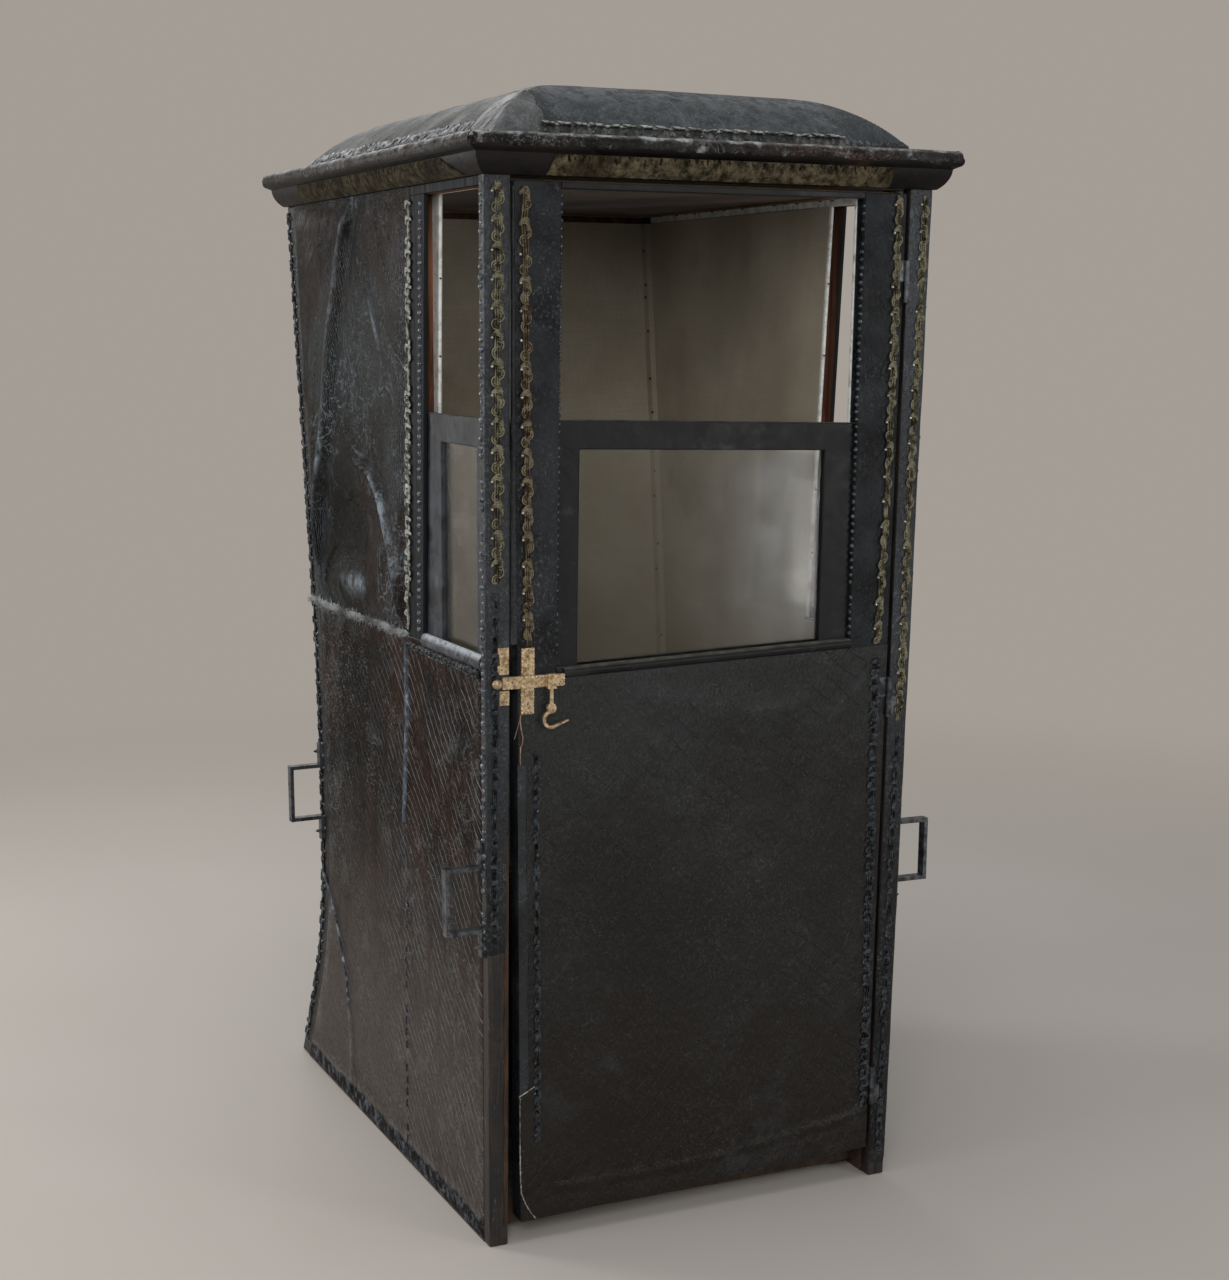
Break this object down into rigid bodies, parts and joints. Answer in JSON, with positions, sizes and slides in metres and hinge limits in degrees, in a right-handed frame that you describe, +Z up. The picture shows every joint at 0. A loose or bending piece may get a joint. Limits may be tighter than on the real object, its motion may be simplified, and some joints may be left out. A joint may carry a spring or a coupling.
{
  "type": "sedan chair",
  "caption": "Leather-covered carried cabin with a flared back, a leaning front door with a sliding window, a hinged domed roof and iron loops for two poles.",
  "frame": {"origin": "on the ground, at the middle of the outline's bounding box", "axes": "+Z up, -Y the front with the door, +X to the right of someone facing the front"},
  "size_m": [0.7864, 0.998, 1.653],
  "materials": {
    "leather": "aged blue-black leather over wooden walls, satin and cracked",
    "dome_leather": "dusty satin black leather",
    "cornice_paint": "dark painted moulding, worn",
    "painted_wood": "black painted wood, satin",
    "bare_wood": "old bare wood, dull",
    "glass": "clear old glass",
    "iron": "dark forged iron, worn",
    "brass": "aged pale brass",
    "lining": "grey cream linen, matt",
    "braid": "tarnished gilt braid",
    "webbing": "worn tan webbing",
    "nails": "domed blackened nails"
  },
  "bodies": {
    "chair": {"back_panel_lower": "leather", "back_panel_upper": "leather", "back_top_rail": "leather", "door_hinges_fixed": "iron", "floor_board": "bare_wood", "front_bottom_rail": "painted_wood", "front_post_left": "leather", "front_post_right": "leather", "jamb_post_left": "leather", "jamb_post_right": "leather", "latch_keeper": "brass", "quarter_panel_left": "leather", "quarter_panel_right": "leather", "rear_bottom_rail": "bare_wood", "rear_post_left": "leather", "rear_post_right": "leather", "roof_hinges_fixed": "iron", "seat_board": "bare_wood", "seat_riser": "bare_wood", "side_bottom_rails": "bare_wood", "side_glass_left": "glass", "side_glass_right": "glass", "side_panel_left": "leather", "side_panel_right": "leather", "side_sash_left": "painted_wood", "side_sash_right": "painted_wood", "side_top_rail_left": "leather", "side_top_rail_right": "leather", "staple_front_left": "iron", "staple_front_right": "iron", "staple_rear_left": "iron", "staple_rear_right": "iron"},
    "door": {"door_bottom_rail": "painted_wood", "door_glass": "glass", "door_hinges_moving": "iron", "door_panel": "leather", "door_sash": "painted_wood", "door_sill": "painted_wood", "door_stile_left": "leather", "door_stile_right": "leather", "door_top_rail": "painted_wood", "latch_bar": "brass", "latch_hook": "brass"},
    "roof": {"cornice": "cornice_paint", "roof_dome": "dome_leather", "ceiling_board": "lining", "roof_hinges_moving": "iron"}
  },
  "joints": [
    {"name": "door_hinge", "type": "hinge", "parent": "chair", "child": "door", "pos_m": [0.30275, -0.44979, 0.7496], "axis": [0.0057, -0.0273, 0.9996], "range_deg": [0, 105]},
    {"name": "roof_hinge", "type": "hinge", "parent": "chair", "child": "roof", "pos_m": [0, 0.452, 1.494], "axis": [-1, 0, 0], "range_deg": [0, 65]}
  ]
}
